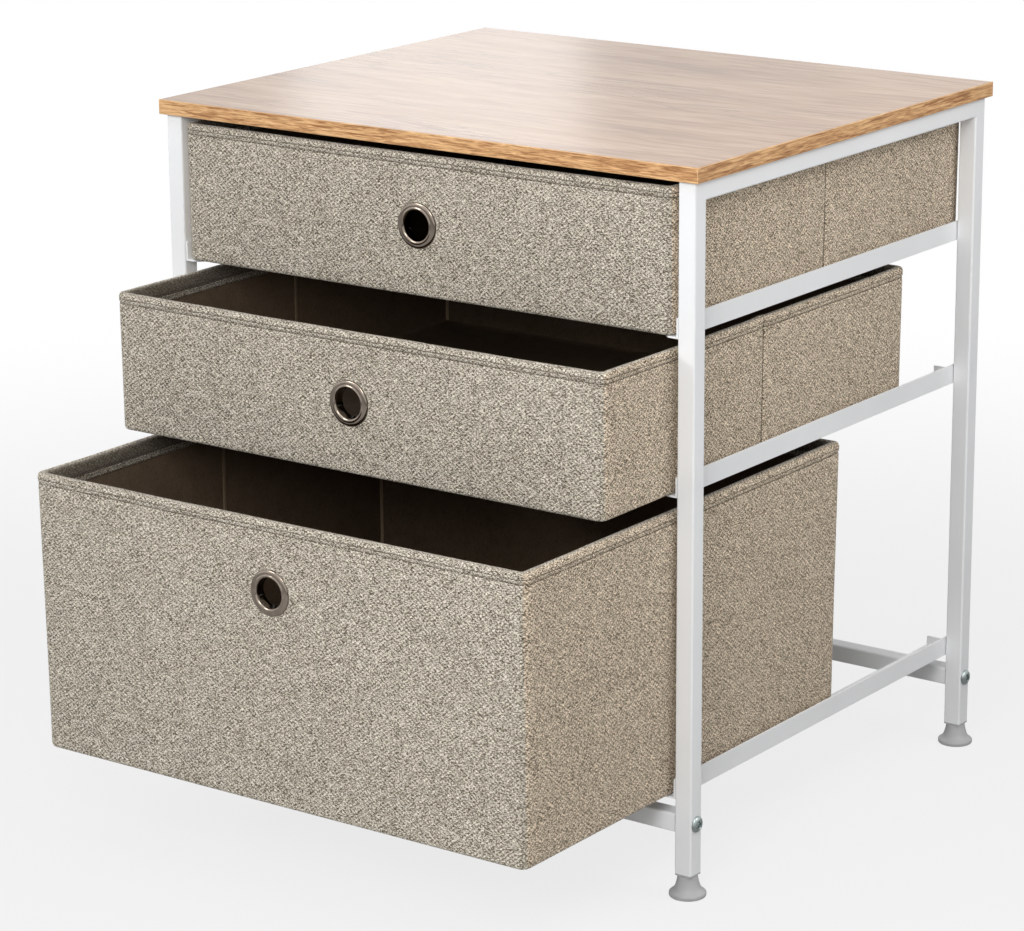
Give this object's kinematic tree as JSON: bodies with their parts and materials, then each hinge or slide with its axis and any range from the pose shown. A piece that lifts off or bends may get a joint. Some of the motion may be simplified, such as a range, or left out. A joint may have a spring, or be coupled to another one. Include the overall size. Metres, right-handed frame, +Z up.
{
  "type": "fabric drawer dresser",
  "caption": "Open-frame dresser with an oak-look board top, a white square-tube steel frame and fabric drawers with metal eyelet pulls sliding on angle runners.",
  "frame": {"origin": "on the floor, under the middle of the box round the whole dresser as it stands with the middle and bottom drawers drawn out", "axes": "+Z up, the drawers pull out towards -Y, +X to the right seen from the front"},
  "size_m": [0.52, 0.6326, 0.571],
  "materials": {
    "oak_laminate": "satin printed oak laminate, grain along X",
    "oak_edge": "golden oak edge band",
    "white_powder_coat": "smooth white powder coat",
    "zinc_plate": "bright zinc plate",
    "foot_plastic": "light grey moulded plastic",
    "plug_plastic": "pale grey moulded plastic",
    "cover_fabric": "beige-grey heather linen-look weave",
    "lining_fabric": "dark brown non-woven lining",
    "fibreboard": "raw fibreboard stiffener",
    "eyelet_metal": "warm nickel plate"
  },
  "bodies": {
    "frame": {"tabletop_board": "oak_laminate", "edge_strip_front": "oak_edge", "edge_strip_rear": "oak_edge", "edge_strip_left": "oak_edge", "edge_strip_right": "oak_edge", "leg_front_left": "white_powder_coat", "leg_front_right": "white_powder_coat", "leg_rear_left": "white_powder_coat", "leg_rear_right": "white_powder_coat", "side_rail_left": "white_powder_coat", "side_rail_right": "white_powder_coat", "cross_tube_front": "white_powder_coat", "cross_tube_rear": "white_powder_coat", "runner_top_left": "white_powder_coat", "runner_top_right": "white_powder_coat", "runner_middle_left": "white_powder_coat", "runner_middle_right": "white_powder_coat", "runner_bottom_left": "white_powder_coat", "runner_bottom_right": "white_powder_coat", "cross_bolt_front_left": "zinc_plate", "cross_bolt_front_right": "zinc_plate", "cross_bolt_rear_left": "zinc_plate", "cross_bolt_rear_right": "zinc_plate", "tabletop_screw_front_left": "zinc_plate", "tabletop_screw_front_right": "zinc_plate", "tabletop_screw_rear_left": "zinc_plate", "tabletop_screw_rear_right": "zinc_plate", "leg_plug_front_left": "plug_plastic", "leg_plug_front_right": "plug_plastic", "leg_plug_rear_left": "plug_plastic", "leg_plug_rear_right": "plug_plastic"},
    "top_drawer": {"top_drawer_cover": "cover_fabric", "top_drawer_lining": "lining_fabric", "top_drawer_front_board": "fibreboard", "top_drawer_rear_board": "fibreboard", "top_drawer_left_board": "fibreboard", "top_drawer_right_board": "fibreboard", "top_drawer_base_board": "fibreboard", "top_drawer_eyelet": "eyelet_metal"},
    "middle_drawer": {"middle_drawer_cover": "cover_fabric", "middle_drawer_lining": "lining_fabric", "middle_drawer_front_board": "fibreboard", "middle_drawer_rear_board": "fibreboard", "middle_drawer_left_board": "fibreboard", "middle_drawer_right_board": "fibreboard", "middle_drawer_base_board": "fibreboard", "middle_drawer_eyelet": "eyelet_metal"},
    "bottom_drawer": {"bottom_drawer_cover": "cover_fabric", "bottom_drawer_lining": "lining_fabric", "bottom_drawer_front_board": "fibreboard", "bottom_drawer_rear_board": "fibreboard", "bottom_drawer_left_board": "fibreboard", "bottom_drawer_right_board": "fibreboard", "bottom_drawer_base_board": "fibreboard", "bottom_drawer_eyelet": "eyelet_metal"},
    "foot_front_left_body": {"foot_front_left": "foot_plastic"},
    "foot_front_right_body": {"foot_front_right": "foot_plastic"},
    "foot_rear_left_body": {"foot_rear_left": "foot_plastic"},
    "foot_rear_right_body": {"foot_rear_right": "foot_plastic"}
  },
  "joints": [
    {"name": "top_drawer_slide", "type": "slide", "parent": "frame", "child": "top_drawer", "axis": [0, -1, 0], "range_m": [0, 0.29]},
    {"name": "middle_drawer_slide", "type": "slide", "parent": "frame", "child": "middle_drawer", "axis": [0, -1, 0], "range_m": [-0.088, 0.202]},
    {"name": "bottom_drawer_slide", "type": "slide", "parent": "frame", "child": "bottom_drawer", "axis": [0, -1, 0], "range_m": [-0.187, 0.103]},
    {"name": "foot_front_left_level", "type": "slide", "parent": "frame", "child": "foot_front_left_body", "axis": [0, 0, -1], "range_m": [0, 0.008]},
    {"name": "foot_front_right_level", "type": "slide", "parent": "frame", "child": "foot_front_right_body", "axis": [0, 0, -1], "range_m": [0, 0.008]},
    {"name": "foot_rear_left_level", "type": "slide", "parent": "frame", "child": "foot_rear_left_body", "axis": [0, 0, -1], "range_m": [0, 0.008]},
    {"name": "foot_rear_right_level", "type": "slide", "parent": "frame", "child": "foot_rear_right_body", "axis": [0, 0, -1], "range_m": [0, 0.008]}
  ]
}
